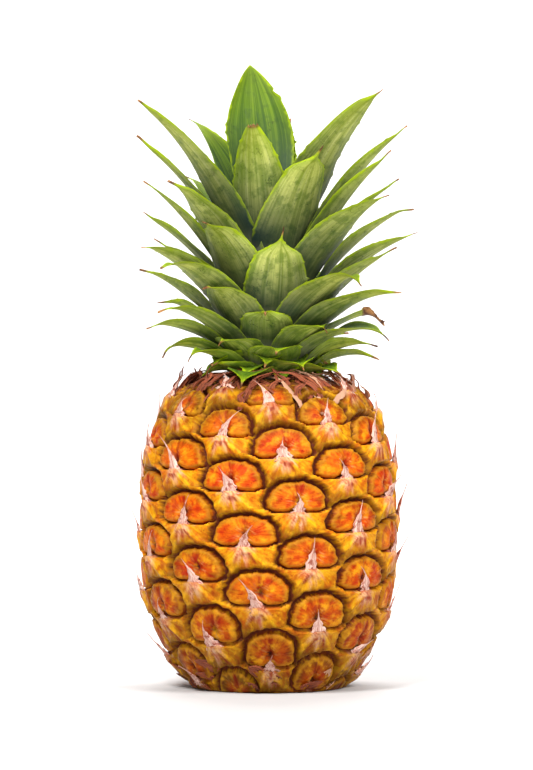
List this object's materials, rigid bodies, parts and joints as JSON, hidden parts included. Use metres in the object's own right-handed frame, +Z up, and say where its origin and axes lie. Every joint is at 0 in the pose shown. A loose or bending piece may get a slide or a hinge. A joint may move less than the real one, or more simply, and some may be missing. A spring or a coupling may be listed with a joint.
{
  "type": "pineapple",
  "caption": "Whole ripe pineapple standing upright: a barrel-shaped fruit of raised spiral eyes on a flat cut foot, with a full crown of pointed leaves.",
  "frame": {"origin": "centre of the flat foot the fruit stands on, on the fruit's axis", "axes": "+Z up along the fruit's axis from foot to crown, -Y towards the front, +X to the right seen from the front"},
  "size_m": [0.1279, 0.1177, 0.2816],
  "materials": {
    "fruit_skin": "waxy rind, golden orange with green-brown edges to the eyes",
    "cut_stalk": "dry cut plant fibre",
    "crown_stem": "pale green plant stem",
    "leaf": "grey-green leaf with a silvery bloom and yellow-green margins"
  },
  "bodies": {
    "root": {"fruit": "fruit_skin", "stalk_stub": "cut_stalk", "crown_stem": "crown_stem", "crown_leaf_01": "leaf", "crown_leaf_02": "leaf", "crown_leaf_03": "leaf", "crown_leaf_04": "leaf", "crown_leaf_05": "leaf", "crown_leaf_06": "leaf", "crown_leaf_07": "leaf", "crown_leaf_08": "leaf", "crown_leaf_09": "leaf", "crown_leaf_10": "leaf", "crown_leaf_11": "leaf", "crown_leaf_12": "leaf", "crown_leaf_13": "leaf", "crown_leaf_14": "leaf", "crown_leaf_15": "leaf", "crown_leaf_16": "leaf", "crown_leaf_17": "leaf", "crown_leaf_18": "leaf", "crown_leaf_19": "leaf", "crown_leaf_20": "leaf", "crown_leaf_21": "leaf", "crown_leaf_22": "leaf", "crown_leaf_23": "leaf", "crown_leaf_24": "leaf", "crown_leaf_25": "leaf", "crown_leaf_26": "leaf", "crown_leaf_27": "leaf", "crown_leaf_28": "leaf", "crown_leaf_29": "leaf", "crown_leaf_30": "leaf", "crown_leaf_31": "leaf", "crown_leaf_32": "leaf", "crown_leaf_33": "leaf", "crown_leaf_34": "leaf", "crown_leaf_35": "leaf", "crown_leaf_36": "leaf", "crown_leaf_37": "leaf", "crown_leaf_38": "leaf", "crown_leaf_39": "leaf", "crown_leaf_40": "leaf", "crown_leaf_41": "leaf", "crown_leaf_42": "leaf", "crown_leaf_43": "leaf", "crown_leaf_44": "leaf", "crown_leaf_45": "leaf", "crown_leaf_46": "leaf", "crown_leaf_47": "leaf", "crown_leaf_48": "leaf", "crown_leaf_49": "leaf", "crown_leaf_50": "leaf", "crown_leaf_51": "leaf", "crown_leaf_52": "leaf", "crown_leaf_53": "leaf", "crown_leaf_54": "leaf", "crown_leaf_55": "leaf", "crown_leaf_56": "leaf"}
  },
  "joints": []
}
